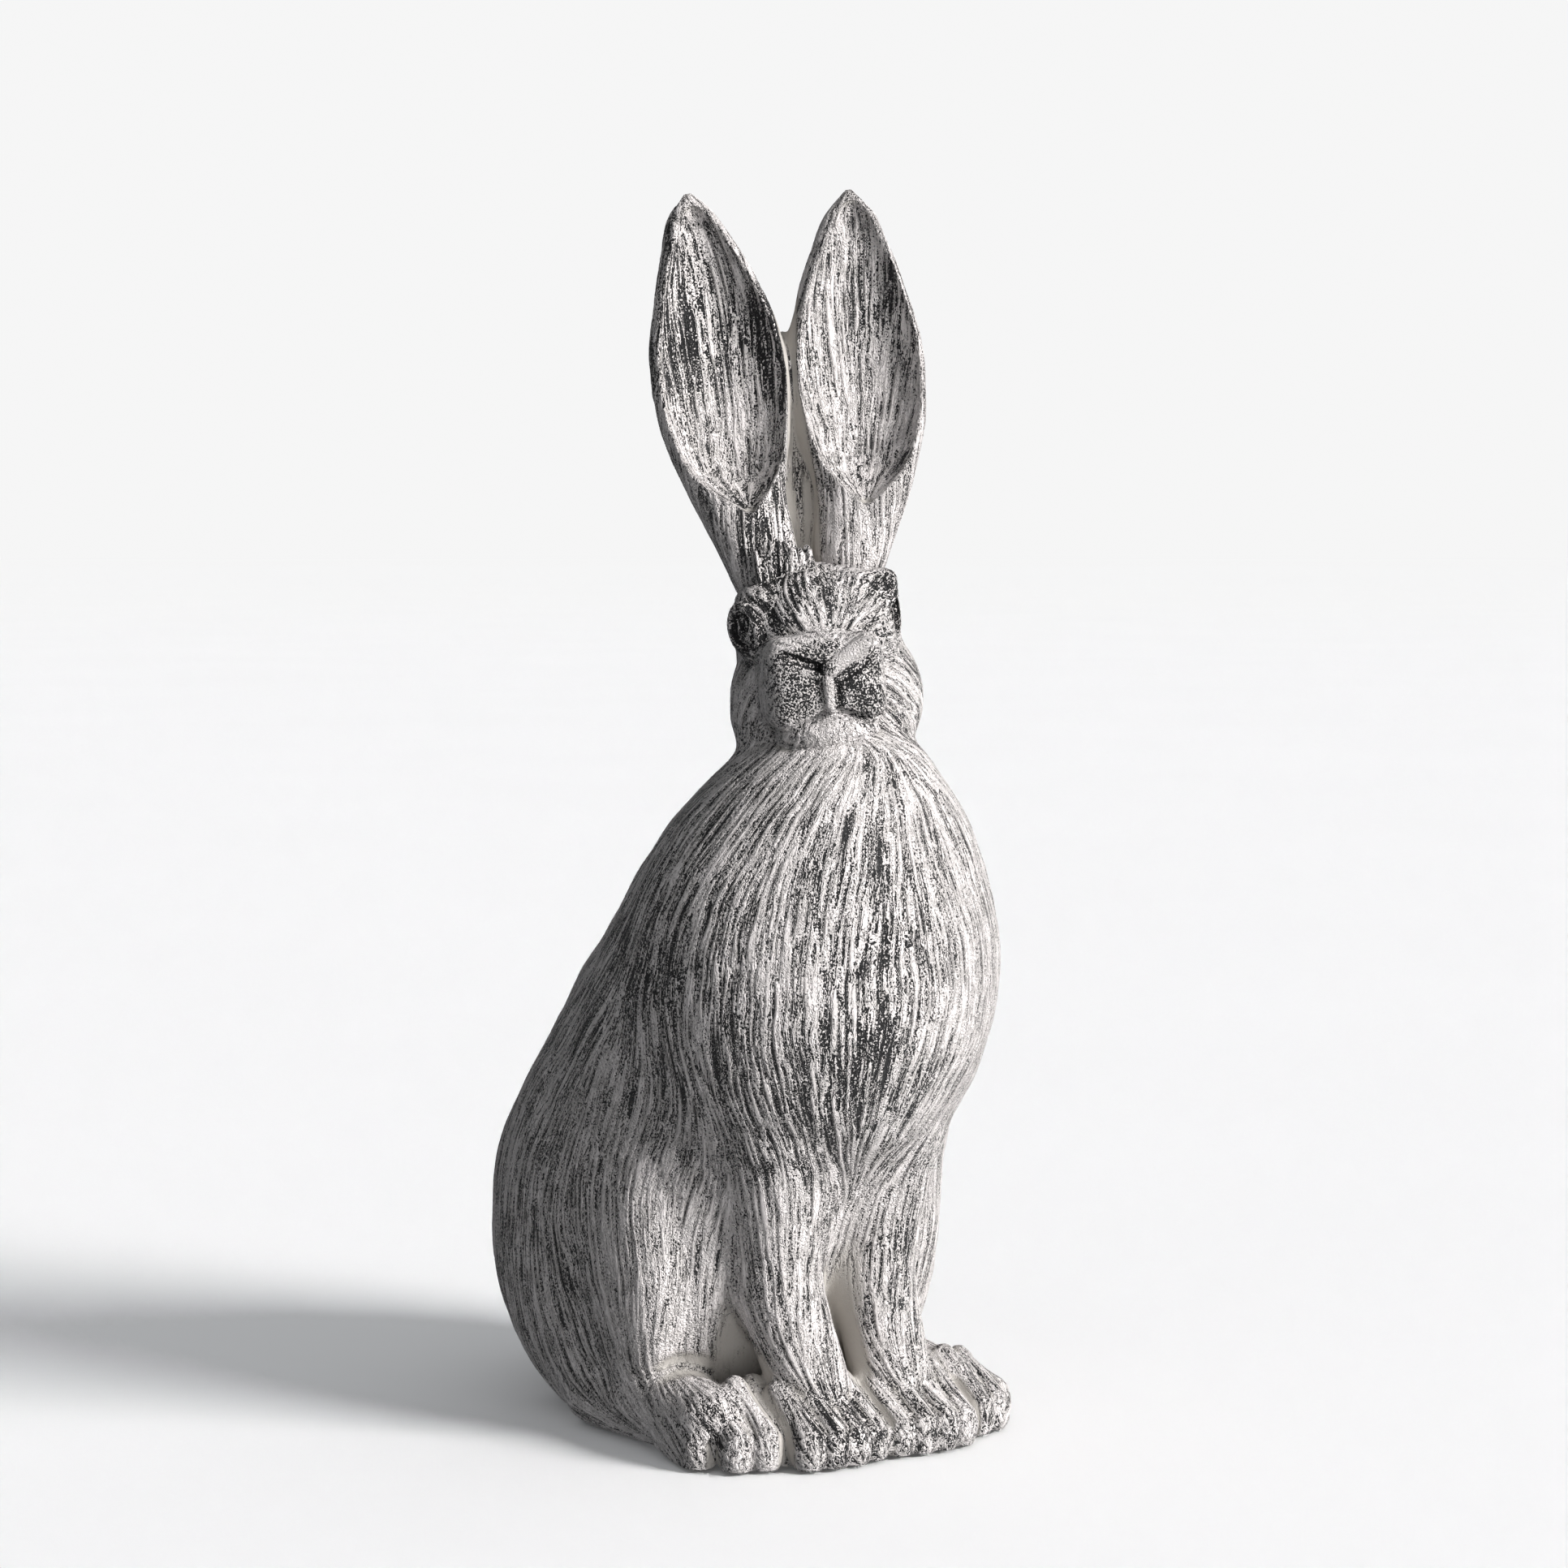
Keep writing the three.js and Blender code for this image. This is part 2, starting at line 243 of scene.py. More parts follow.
class Limb(Form):
    """A tapered bar with round ends, `flat` times as high as it is wide."""

    def __init__(self, start, end, radii, soft=8.0, cut=False, grain=None, flat=1.0):
        self.start = np.array(start, float)
        self.along = np.array(end, float) - self.start
        self.radii = radii
        self.flat = flat
        reach = max(radii)
        low = np.minimum(self.start, self.start + self.along) - reach
        high = np.maximum(self.start, self.start + self.along) + reach
        lie = tuple(self.along) if grain is None else grain
        super().__init__(low, high, soft, cut, lie)

    def distance(self, points):
        offset = points - self.start
        share = np.clip(offset @ self.along / (self.along @ self.along), 0, 1)
        away = offset - share[:, None] * self.along
        away[:, 2] /= self.flat
        radius = self.radii[0] + (self.radii[1] - self.radii[0]) * share
        return np.sqrt((away ** 2).sum(axis=1)) - radius


class Ring(Form):
    """A round bead bent into an ellipse that faces its frame's first axis, with one pointed corner."""

    CORNER = 0.12                 # how far the corner is drawn out

    def __init__(self, at, across, tall, bead, turn, corner, soft=1.0, grain=(0, 0, 1)):
        self.at = np.array(at, float)
        self.across = across
        self.tall = tall
        self.bead = bead
        self.turn = turn
        self.corner = math.radians(corner)
        reach = (1 + self.CORNER) * max(across, tall) + bead
        super().__init__(self.at - reach, self.at + reach, soft, False, grain)

    def distance(self, points):
        local = (points - self.at) @ self.turn
        angle = np.arctan2(local[:, 2] / self.tall, local[:, 1] / self.across)
        drawn = 1 + self.CORNER * np.maximum(np.cos(angle - self.corner), 0) ** 6
        aside = local[:, 1] - drawn * self.across * np.cos(angle)
        above = local[:, 2] - drawn * self.tall * np.sin(angle)
        return np.sqrt(local[:, 0] ** 2 + aside ** 2 + above ** 2) - self.bead


class Stack(Form):
    """Elliptic sections (height, x, y, half width, half depth) joined by a smooth curve."""

    STEPS = 160
    THIN = 0.3

    def __init__(self, rows, at=(0, 0, 0), turn=UPRIGHT, soft=4.0, cut=False, grain=(0, 0, -1)):
        self.at = np.array(at, float)
        self.turn = turn
        rows = np.array(rows, float)
        self.levels = np.linspace(rows[0, 0], rows[-1, 0], self.STEPS)
        self.values = [self.curve(rows[:, 0], rows[:, k]) for k in range(1, 5)]
        corners = [
            self.at + turn @ np.array([x + i * w, y + j * d, height])
            for height, x, y, w, d in rows
            for i in (-1, 1)
            for j in (-1, 1)
        ]
        super().__init__(np.min(corners, axis=0), np.max(corners, axis=0), soft, cut, grain)

    def curve(self, at, values):
        """Cubic curve through the rows, with slopes from their neighbours."""
        slope = np.gradient(values, at)
        k = np.clip(np.searchsorted(at, self.levels) - 1, 0, len(at) - 2)
        step = at[k + 1] - at[k]
        t = (self.levels - at[k]) / step
        start = (2 * t ** 3 - 3 * t ** 2 + 1) * values[k] + (t ** 3 - 2 * t ** 2 + t) * step * slope[k]
        end = (3 * t ** 2 - 2 * t ** 3) * values[k + 1] + (t ** 3 - t ** 2) * step * slope[k + 1]
        return start + end

    def distance(self, points):
        local = (points - self.at) @ self.turn
        height = local[:, 2]
        x, y, width, depth = (np.interp(height, self.levels, v) for v in self.values)
        width = np.maximum(width, self.THIN)
        depth = np.maximum(depth, self.THIN)
        across = (local[:, 0] - x) / width
        through = (local[:, 1] - y) / depth
        size = np.hypot(across, through)
        slope = np.hypot(across / width, through / depth)
        side = size * (size - 1) / np.maximum(slope, 1e-6)
        end = np.maximum(self.levels[0] - height, height - self.levels[-1])
        beyond = np.hypot(np.maximum(side, 0), end)
        return np.where(end > 0, beyond, np.maximum(side, end))


class Whole(Form):
    """Several forms melted into one, and grown all round."""

    def __init__(self, forms, grow=0.0, cut=False, grain=(0, 0, 1)):
        self.forms = forms
        self.grow = grow
        low = np.min([form.low for form in forms], axis=0) - grow
        high = np.max([form.high for form in forms], axis=0) + grow
        super().__init__(low, high, 0.0, cut, grain)

    def distance(self, points):
        return distance(points, self.forms) - self.grow


def distance(points, forms, margin=6.0):
    """Signed distance to the melted forms, in mm; FAR where nothing is near."""
    total = np.full(len(points), FAR)
    for form in forms:
        near = form.near(points, margin)
        if not near.any():
            continue
        own = form.distance(points[near])
        before = total[near]
        total[near] = -melt(-before, own, form.soft) if form.cut else melt(before, own, form.soft)
    return total


# ---- the lie of the fur ----


def spread_from(source):
    """Fur that fans out from a point."""
    source = np.array(source, float)
    return lambda points: points - source


def from_to(source, sink):
    """Fur that fans out from one point and gathers at another."""
    source, sink = np.array(source, float), np.array(sink, float)

    def lie(points):
        out, into = points - source, points - sink
        near_source = (out ** 2).sum(axis=1, keepdims=True)
        near_sink = (into ** 2).sum(axis=1, keepdims=True)
        return out / near_source - into / near_sink

    return lie


CHIN = (0, -66, 224)
BREAST_POINT = (0, -62, 82)
CHEST_LIE = from_to(CHIN, BREAST_POINT)
NOSE_TIP = on_head((NOSE_X, -44, -6))
NAPE_FROM = 45                    # mm behind the nose, where the fur starts to fall
DROOP = 0.55                      # how much the fur droops beside the nose
FALL = 1.6                        # how steeply it falls at the back of the head


def face_lie(points):
    """Fur that runs away from the nose, droops beside it, and falls down the back of the head."""
    out = (points - NOSE_TIP) @ HEAD_TURN
    behind = np.maximum(out[:, 1] - NAPE_FROM, 0)
    out[:, 1] = 0
    out[:, 2] -= DROOP * np.abs(out[:, 0]) + FALL * behind
    return out @ HEAD_TURN.T


# ---- the hare's forms ----


def ear_rows(rows, side):
    """A left ear's rows, mirrored for the right ear, and trimmed."""
    return [(height * EAR_TRIM[side], side * x, y, width, depth) for height, x, y, width, depth in rows]


def trunk():
    rows = [(height, 0, y, width, depth) for height, y, width, depth in TRUNK]
    return [
        Stack(rows, soft=0, grain=(0, 0.55, -1)),
        Egg(*CHEST, soft=10, grain=CHEST_LIE),
        Egg(*TAIL, soft=6, grain=(0, 0.4, 1)),
    ]


def haunch(side):
    middle, radii = HAUNCH
    heel, ball = on_side(HEEL, side), on_side(BALL, side)
    foot_radii = (HEEL_RADIUS, BALL_RADIUS)
    return [
        Egg(on_side(middle, side), radii, soft=14, grain=(0, -0.35, -1)),
        Egg(KNEE_AT[side], KNEE_RADII, soft=4, grain=(0, -0.1, -1)),
        Limb(heel, ball, foot_radii, soft=6, flat=HIND_FOOT_FLAT, grain=(0, -1, -0.3)),
    ]


def foreleg(side):
    shoulder, elbow = on_side(SHOULDER, side), on_side(ELBOW, side)
    wrist = on_side(WRIST, side, FEET_LEAN)
    return [
        Limb(shoulder, elbow, (SHOULDER_RADIUS, ELBOW_RADIUS), soft=7),
        Limb(elbow, wrist, (ELBOW_RADIUS, WRIST_RADIUS), soft=5, grain=(0, -0.5, -1)),
    ]


def toes(foot, side):
    """Four toes side by side: ridges that run steeply down to blunt tips, each short of the foremost."""
    middle, tip, half_width, setbacks = foot
    pitch = TOE_PITCH * half_width
    radii = (half_width, half_width)
    row = []
    for place, setback in zip((-1.5, -0.5, 0.5, 1.5), setbacks[::side]):
        x = side * middle + FEET_LEAN + place * pitch
        y = tip + setback + half_width
        root = (x, y + TOE_RUN, TOE_ROOT - 0.6 * setback)
        end = (x, y, TOE_TIP - 0.1 * setback)
        row.append(Limb(root, end, radii, soft=1.4, flat=1.6, grain=(0, -1, -0.7)))
    return row


def feet(side):
    return toes(FORE_TOES, side) + toes(HIND_TOES, side)


def between_the_legs():
    return [
        Egg(*BELLY, soft=4),
        Egg(*WEB, soft=3, grain=(0, -1, 0)),
    ]


# the left eye in the head's frame; its own frame has the first axis outward and the third up
EYE_AT = (19.8, -11, 12.5)
EYE_SHIFT = -1.6                  # both eyes sit this far towards the hare's right
EYE_AIM = (0.82, -0.57)           # which way the eye looks, aside and along Y
EYE_LEAN = 16                     # degrees, the lean of the opening
EYE_CORNER = 30                   # degrees from straight down, where the lid's pointed corner is
EYE_MOUND = (5.6, 7.4, 9.6)
LID_OUT, LID_ACROSS, LID_TALL, LID_BEAD = 4.2, 5.0, 7.2, 1.7
OPENING_OUT, OPENING = 5.4, (3.6, 4.3, 6.4)
BALL_OUT, EYEBALL = 1.0, (4.4, 4.2, 5.8)
PUPIL_OUT, PUPIL_UP, PUPIL = 4.4, 1.0, (2.0, 1.5, 2.0)


def eye(side):
    """Thick lids round an almond opening, with a ball in it and a drilled pupil."""
    aside, along = EYE_AIM
    heading = math.degrees(math.atan2(along, side * aside))
    turn = HEAD_TURN @ turned(yaw=heading) @ turned(pitch=-EYE_LEAN * side)
    centre = on_head(on_side(EYE_AT, side, EYE_SHIFT))
    outward, up = turn[:, 0], turn[:, 2]
    lid = centre + LID_OUT * outward
    ball = centre + BALL_OUT * outward
    pupil = ball + PUPIL_OUT * outward + PUPIL_UP * up
    corner = -90 - EYE_CORNER * side
    return [
        Egg(centre, EYE_MOUND, turn, soft=2.0, grain=face_lie),
        Ring(lid, LID_ACROSS, LID_TALL, LID_BEAD, turn, corner, grain=face_lie),
        Egg(centre + OPENING_OUT * outward, OPENING, turn, soft=0.5, cut=True, grain=up),
        Egg(ball, EYEBALL, turn, soft=0.2, grain=up),
        Egg(pupil, PUPIL, turn, soft=0.3, cut=True, grain=up),
    ]


def nose_and_mouth():
    """The flat front of the muzzle: a Y of slits and ridges over a bowed mouth, and the chin."""
    x = NOSE_X

    def ridge(start, end, radii, soft=1.4):
        return Limb(on_head(start), on_head(end), radii, soft=soft, grain=face_lie)

    def slit(start, end, radii, soft=0.5):
        return Limb(on_head(start), on_head(end), radii, soft=soft, cut=True, grain=face_lie)

    corners = ((-15, -18.8), (15.5, -16.6))
    mouth = [slit((x, -34.8, -13.4), (x + aside, -31, low), (1.6, 1.3)) for aside, low in corners]
    return [
        Block(on_head((x, -22.5, -4.3)), (18.8, 12.5, 14.2), 6.5, HEAD_TURN, soft=0.8, grain=face_lie),
        Egg(on_head((x, -26, 4.5)), (13, 9, 6.5), HEAD_TURN, soft=1.5, grain=face_lie),
        Egg(on_head((x - 9.5, -27.5, -6.5)), (8.5, 8.3, 8.5), HEAD_TURN, soft=2, grain=face_lie),
        Egg(on_head((x + 9.5, -27.5, -6)), (9, 8.8, 8.5), HEAD_TURN, soft=2, grain=face_lie),
        Egg(on_head((x + 0.5, -22.5, -20)), (16, 11.5, 9), HEAD_TURN, soft=1.0, grain=face_lie),
        *mouth,
        slit((x - 1.5, -35.2, -0.5), (x - 13, -34.6, 4.6), (1.7, 1.3)),
        ridge((x - 1.5, -35.0, -3.2), (x - 13, -34.2, 1.2), (1.4, 1.1), soft=0.7),
        ridge((x + 0.5, -35.4, -0.6), (x + 12.5, -34.6, 6.8), (2.9, 2.6), soft=0.6),
        slit((x + 2.4, -35.8, -5.0), (x + 13.5, -35.2, 1.6), (1.4, 1.1)),
        ridge((x - 0.8, -35.5, -3), (x - 0.2, -35.3, -12.5), (1.8, 1.7), soft=0.6),
        slit((x + 2.0, -35.9, -4.5), (x + 2.4, -35.6, -13), (1.5, 1.4)),
    ]


MUZZLE_AT = np.array([NOSE_X, -27, -2])
MUZZLE_HALF, MUZZLE_TOP, MUZZLE_FOOT = 18.5, 12, 11.5
MUZZLE_EDGE = 2.5                 # mm, over which the stippling fades out


def on_muzzle(points):
    """1 on the flat front of the muzzle above the mouth, fading out over its edge."""
    aside, forward, up = ((points - np.array(HEAD_AT)) @ HEAD_TURN - MUZZLE_AT).T
    aside = np.abs(aside)
    below_top = MUZZLE_TOP - up - 0.2 * aside
    above_mouth = up + MUZZLE_FOOT + 0.27 * aside
    inside = np.minimum.reduce([MUZZLE_HALF - aside, -forward, below_top, above_mouth])
    return np.clip(inside / MUZZLE_EDGE, 0, 1)


TUFT_PLACES = (-17.5, -15, -12.6, -10.3, -8, -5.8, -3.4, -1)
TUFT_ROOT, TUFT_TIP = 22, 37.5    # heights of a lock's two ends
TUFT_RADII = (2.2, 0.9)


def tufts():
    """Locks of hair on the crown that stand up before the ears, each a little unlike the next."""
    locks = []
    for x in TUFT_PLACES:
        root = on_head((x, -9 + 1.5 * math.cos(5 * x), TUFT_ROOT))
        tip = on_head((x - 1.8, -11, TUFT_TIP + 2.0 * math.sin(2.3 * x)))
        locks.append(Limb(root, tip, TUFT_RADII, soft=0.4, grain=(0, 0, 1)))
    return locks


def head():
    """Skull, nape, crown, cheeks, bridge of the nose and brows, and then the features."""
    def egg(at, radii, soft):
        return Egg(on_head(at), radii, HEAD_TURN, soft, grain=face_lie)

    def block(at, half, rounding, soft):
        return Block(on_head(at), half, rounding, HEAD_TURN, soft, grain=face_lie)

    skull = block((1, 3, 1), (24, 28, 24.5), 16, soft=10)
    nape = egg((0, 14, -22), (20, 14, 20), soft=8)
    crown = egg((-1, -2, 20), (20, 19, 11), soft=4)
    right_cheek = egg((-12.5, -2, -13), (16.8, 18, 22), soft=5)
    left_cheek = egg((16, -3, -12), (16, 18, 20), soft=5)
    bridge = egg((NOSE_X / 2, -13, 11), (14, 13, 12), soft=6)
    right_brow = egg((-18, -6, 19.5), (8, 11, 7), soft=3)
    left_brow = block((15, -6, 21), (10, 11, 6.8), 3.5, soft=3)
    forms = [skull, nape, crown, right_cheek, left_cheek, bridge, right_brow, left_brow]
    for side in (-1, 1):
        forms += eye(side)
    forms += nose_and_mouth()
    return forms + tufts()


def underside(cut=True):
    """The seat of the base plate and the opening above it."""
    width, depth = PLATE_HALF
    forms = []
    for top, grow in ((SOLE + PLATE_THICK + GAP, GAP), (OPENING_TOP, -LEDGE)):
        rows = [(height, 0, PLATE_Y, width + grow, depth + grow) for height in (BELOW, top)]
        forms.append(Stack(rows, soft=0, cut=cut))
    return forms


def rod_hole(side, cut):
    foot, top = ((side * x, y, z) for x, y, z in (ROD_FOOT, ROD_TOP))
    radius = ROD_RADIUS + GAP
    return Limb(on_head(foot), on_head(top), (radius, radius), soft=0, cut=cut)


def ear_solids():
    """Both ears and the thin bridge between them."""
    upward = (0, 0, 1)
    forms = [Stack(ear_rows(EAR, side), HEAD_AT, HEAD_TURN, soft=2, grain=upward) for side in (-1, 1)]
    middle, radii = EAR_BRIDGE
    return forms + [Egg(on_head(middle), radii, HEAD_TURN, soft=4, grain=upward)]


def ear_socket(cut=True):
    return [Whole(ear_solids(), GAP, cut)]


def rod_holes(cut=True):
    return [rod_hole(side, cut) for side in (-1, 1)]


def body():
    forms = trunk()
    for side in (-1, 1):
        forms += haunch(side) + foreleg(side)
    forms += between_the_legs()
    for side in (-1, 1):
        forms += feet(side)
    return forms + head() + ear_socket() + rod_holes() + underside()


def ears():
    forms = ear_solids()
    for side in (-1, 1):
        cup = ear_rows(EAR_CUP, side)
        root = on_head((side * 17, -2, 30))
        forms.append(Stack(cup, HEAD_AT, HEAD_TURN, soft=0.8, cut=True, grain=spread_from(root)))
    return forms + rod_holes()


# ---- meshing ----

BLOCK = 6                         # grid points along a block; blocks far from the surface are skipped
BAND = 3                          # grid steps either side of the surface that the grid holds
ROUGH_MARGIN = 14.0               # mm, how far out a block's middle still sees a form
SLACK = 4.0                       # mm, added to a block's reach for what melting moves
ROUGH_PARTS = 40                  # shares that the blocks' middles are worked through in
AT_ONCE = 2000                    # blocks near the surface that are worked on together
LARGEST_MOVE = 0.5                # mm, the most that a point settles in one pass


def quads_of(forms, step, floor=None):
    """Vertices in mm and quads of the melted forms, meshed on a cubic grid."""
    solid = [form for form in forms if not form.cut]
    band = BAND * step
    low = np.min([form.low for form in solid], axis=0) - band
    high = np.max([form.high for form in solid], axis=0) + band
    blocks = np.ceil((high - low) / (step * BLOCK)).astype(int) + 1
    middles = [low[k] + step * BLOCK * (np.arange(blocks[k]) + 0.5) for k in range(3)]
    centres = np.stack(np.meshgrid(*middles, indexing="ij"), axis=-1).reshape(-1, 3)
    parts = np.array_split(centres, ROUGH_PARTS)
    rough = np.concatenate([distance(part, forms, ROUGH_MARGIN) for part in parts])
    values = np.repeat(rough, BLOCK ** 3).reshape(-1, BLOCK, BLOCK, BLOCK)
    inner = step * (np.indices((BLOCK,) * 3).reshape(3, -1).T - (BLOCK - 1) / 2)
    close = np.flatnonzero(np.abs(rough) < 0.9 * BLOCK * step + SLACK)
    for some in np.array_split(close, max(1, len(close) // AT_ONCE)):
        points = (centres[some][:, None, :] + inner[None, :, :]).reshape(-1, 3)
        values[some] = distance(points, forms).reshape(-1, BLOCK, BLOCK, BLOCK)
    values = values.reshape(*blocks, BLOCK, BLOCK, BLOCK).transpose(0, 3, 1, 4, 2, 5)
    values = values.reshape(blocks * BLOCK)
    first = low + step / 2
    if floor is not None:
        heights = first[2] + step * np.arange(values.shape[2])
        values = np.maximum(values, (floor - heights)[None, None, :])
    grid = openvdb.FloatGrid(band)
    grid.copyFromArray(np.clip(values, -band, band).astype(np.float32))
    points, _, quads = grid.convertToPolygons(isovalue=0.0, adaptivity=0.0)
    return points * step + first, quads


def refined(points, quads):
    """Each quad in four, by its middle and its edges' middles."""
    after = np.roll(quads, -1, axis=1)
    keys = np.minimum(quads, after).astype(np.int64) * len(points) + np.maximum(quads, after)
    edges, numbers = np.unique(keys, return_inverse=True)
    middles = (points[edges // len(points)] + points[edges % len(points)]) / 2
    centres = points[quads].mean(axis=1)
    edge = numbers.reshape(quads.shape) + len(points)
    centre = np.arange(len(quads)) + len(points) + len(edges)
    before = np.roll(edge, 1, axis=1)
    parts = [np.column_stack([quads[:, k], edge[:, k], centre, before[:, k]]) for k in range(4)]
    return np.vstack([points, middles, centres]), np.vstack(parts)


def normals_of(points, quads):
    """Unit normals at the mesh's points."""
    corners = points[quads]
    facing = np.cross(corners[:, 2] - corners[:, 0], corners[:, 3] - corners[:, 1])
    flat = quads.ravel()
    each = np.repeat(facing, 4, axis=0)
    total = np.column_stack([np.bincount(flat, each[:, k], len(points)) for k in range(3)])
    return total / np.maximum(np.linalg.norm(total, axis=1, keepdims=True), 1e-9)


def settled(points, quads, forms, floor):
    """The points moved onto the forms' surface."""
    for _ in range(2):
        away = np.clip(distance(points, forms), -LARGEST_MOVE, LARGEST_MOVE)
        points = points - away[:, None] * normals_of(points, quads)
    if floor is not None:
        points[:, 2] = np.maximum(points[:, 2], floor)
    return points


# ---- strokes ----


class Random3:
    """Smooth random heights in space, on a finely filled block that repeats."""

    SIZE = 128
    FILL = 2.5                    # samples to a cell

    def __init__(self, seed, cell):
        self.scale = self.FILL / cell
        grain = np.random.default_rng(seed).standard_normal((self.SIZE,) * 3).astype(np.float32)
        along = np.fft.fftfreq(self.SIZE)
        last = np.fft.rfftfreq(self.SIZE)
        squares = along[:, None, None] ** 2 + along[None, :, None] ** 2 + last[None, None, :] ** 2
        blur = np.exp(-2 * (math.pi * 0.5 * self.FILL) ** 2 * squares)
        smooth = np.fft.irfftn(np.fft.rfftn(grain) * blur, s=grain.shape)
        self.block = (smooth / smooth.std()).astype(np.float32).ravel()

    def nearest(self, points):
        spot = (points * self.scale + self.SIZE * 100).astype(np.int32) % self.SIZE
        return self.block[(spot[:, 0] * self.SIZE + spot[:, 1]) * self.SIZE + spot[:, 2]]

    def __call__(self, points):
        """Blended between samples."""
        spot = points * self.scale
        base = np.floor(spot)
        part = (spot - base).astype(np.float32)
        total = np.zeros(len(points), np.float32)
        for corner in np.ndindex(2, 2, 2):
            share = np.prod(np.where(corner, part, 1 - part), axis=1)
            total += share * self.nearest((base + corner + 0.5) / self.scale)
        return total


class Lie:
    """The way the fur lies, on a grid round the forms."""

    CELL = 4.0
    FINER = 2
    BLEND = 2.5
    SWAY = 0.10

    def __init__(self, forms):
        self.low = np.min([form.low for form in forms], axis=0) - 4 * self.CELL
        high = np.max([form.high for form in forms], axis=0) + 4 * self.CELL
        counts = np.ceil((high - self.low) / self.CELL).astype(int) + 2
        axes = [self.low[k] + self.CELL * np.arange(counts[k]) for k in range(3)]
        points = np.stack(np.meshgrid(*axes, indexing="ij"), axis=-1).reshape(-1, 3)
        total = np.zeros_like(points)
        for form in forms:
            near = form.near(points, 12.0)
            spots = points[near]
            weight = np.exp(-np.abs(form.distance(spots)) / self.BLEND)
            way = form.lie(spots)
            way = way / np.maximum(np.linalg.norm(way, axis=1, keepdims=True), 1e-6)
            total[near] += weight[:, None] * way
        sway = np.column_stack([Random3(seed, 22.0)(points) for seed in (11, 12, 13)])
        length = np.maximum(np.linalg.norm(total, axis=1, keepdims=True), 1e-9)
        ways = (total / length + self.SWAY * sway).reshape(*counts, 3)
        for axis in range(3):
            ways = self.filled(ways, axis)
        self.counts = np.array(ways.shape[:3])
        self.ways = ways.reshape(-1, 3).astype(np.float32)

    def filled(self, ways, axis):
        """Samples added between the grid's own, along one axis."""
        old = np.arange(ways.shape[axis])
        new = np.arange((ways.shape[axis] - 1) * self.FINER + 1) / self.FINER
        base = np.minimum(new.astype(int), old[-1] - 1)
        part = (new - base).reshape([-1 if k == axis else 1 for k in range(4)])
        return np.take(ways, base, axis) * (1 - part) + np.take(ways, base + 1, axis) * part

    def __call__(self, points):
        spot = ((points - self.low) * (self.FINER / self.CELL) + 0.5).astype(np.int32)
        spot = np.clip(spot, 0, self.counts - 1)
        return self.ways[(spot[:, 0] * self.counts[1] + spot[:, 1]) * self.counts[2] + spot[:, 2]]


def combed(points, normals, lie, kinds, step=0.8):
    """For each kind (cell, reach, seed), noise smeared that far each way along the fur."""
    points = points.astype(np.float32)
    normals = normals.astype(np.float32)
    noises = [Random3(seed, cell) for cell, _, seed in kinds]
    totals = [noise.nearest(points) for noise in noises]
    furthest = int(max(reach for _, reach, _ in kinds) / step)
    for sense in (-1, 1):
        spots = points.copy()
        for k in range(1, furthest + 1):
            way = lie(spots)
            way -= (way * normals).sum(axis=1, keepdims=True) * normals
            way /= np.maximum(np.sqrt((way * way).sum(axis=1, keepdims=True)), 1e-6)
            spots += sense * step * way
            for total, noise, (_, reach, _) in zip(totals, noises, kinds):
                share = 0.5 + 0.5 * math.cos(math.pi * min(1.0, k * step / reach))
                if share > 0:
                    total += share * noise.nearest(spots)
    return [total / total.std() for total in totals]


def hollows(points, normals, forms, depth):
    """0 on open surfaces, up to 1 deep in a crease."""
    clear = distance(points + depth * normals, forms, margin=depth + 4) / depth
    return np.clip((1 - clear) * 1.7 - 0.35, 0, 1)


def patches(points, spots):
    """Sum of soft-edged spots (place, radius, strength) at these points."""
    total = np.zeros(len(points))
    for place, radius, strength in spots:
        away = np.linalg.norm((points - np.array(place)) / np.array(radius), axis=1)
        total += strength * np.clip(1.5 - away, 0, 1)
    return total


# ---- a figure piece: mesh, relief and attributes ----

STROKE = 0.55                     # mm, width of a tool stroke
STROKE_REACH = 16.0               # mm, half its length
FINE_STROKE = 0.62                # width of the fine strokes, as a share of the others
FINE_REACH = 6.0                  # mm, half the length of a fine stroke
WANDER = 0.25                     # mm, how far strokes stray from straight
WANDER_CELL = 7.0                 # mm, over which they stray
CREASE = 7.0                      # mm, how far out a crease is felt
CREASE_DARK = 0.45                # how dark the creases of the face are
BROAD_LUMP, SMALL_LUMP = 17.0, 6.0      # mm, sizes of the lumps
RELIEF = 0.20                     # mm, how far a stroke stands in or out
LUMPS = 0.27                      # mm, unevenness of the hand-modelled form
ROOM = 1.5                        # mm, over which the relief fades out beside another piece
SOLE_EDGE, SOLE_FADE = 0.5, 2.0   # mm above the sole, where the relief starts and how fast it grows

# the face's features, where creases are dark lines; elsewhere creases are wiped pale and get the painted
# shade tone
FEATURES = [
    (on_head((NOSE_X, -33, -6)), (20, 14, 16), 1.0),
    (on_head((-22, -11, 12.5)), 11, 1.0),
    (on_head((19, -11, 12.5)), 11, 1.0),
    (on_head((-9, -10, 33)), (12, 7, 8), 1.0),
]


